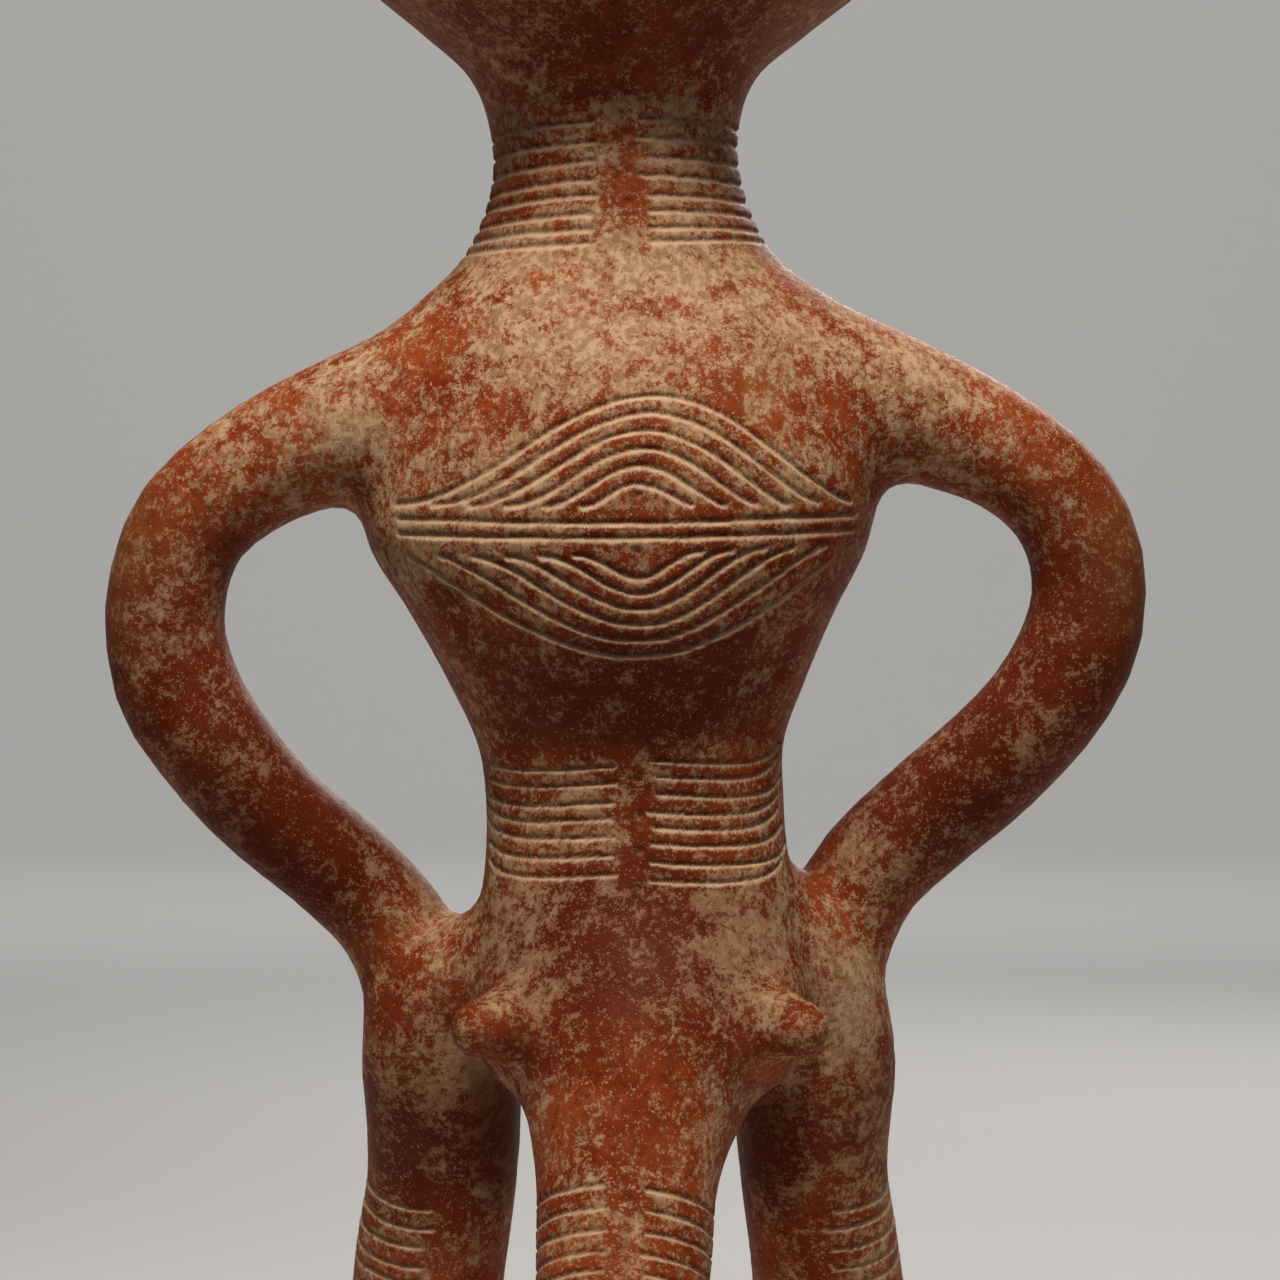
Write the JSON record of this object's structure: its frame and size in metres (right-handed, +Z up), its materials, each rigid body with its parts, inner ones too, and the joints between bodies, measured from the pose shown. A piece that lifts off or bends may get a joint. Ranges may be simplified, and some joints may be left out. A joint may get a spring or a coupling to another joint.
{
  "type": "anthropomorphic vessel",
  "caption": "Hollow clay vessel in the form of a standing figure: bowl-shaped head open on top, arms bent in loops down to the legs, three legs, incised bands.",
  "frame": {"origin": "on the ground, under the middle of the figure's bounding box", "axes": "+Z up; the face looks along +Y; -Y is the back with the incised lens, the side that the picture shows; +X is on the viewer's right in the picture"},
  "size_m": [0.2068, 0.1452, 0.39],
  "materials": {
    "fired_clay": "red-slipped, burnished terracotta, worn, with pale burial deposit in specks and patches"
  },
  "bodies": {
    "root": {"vessel": "fired_clay"}
  },
  "joints": []
}
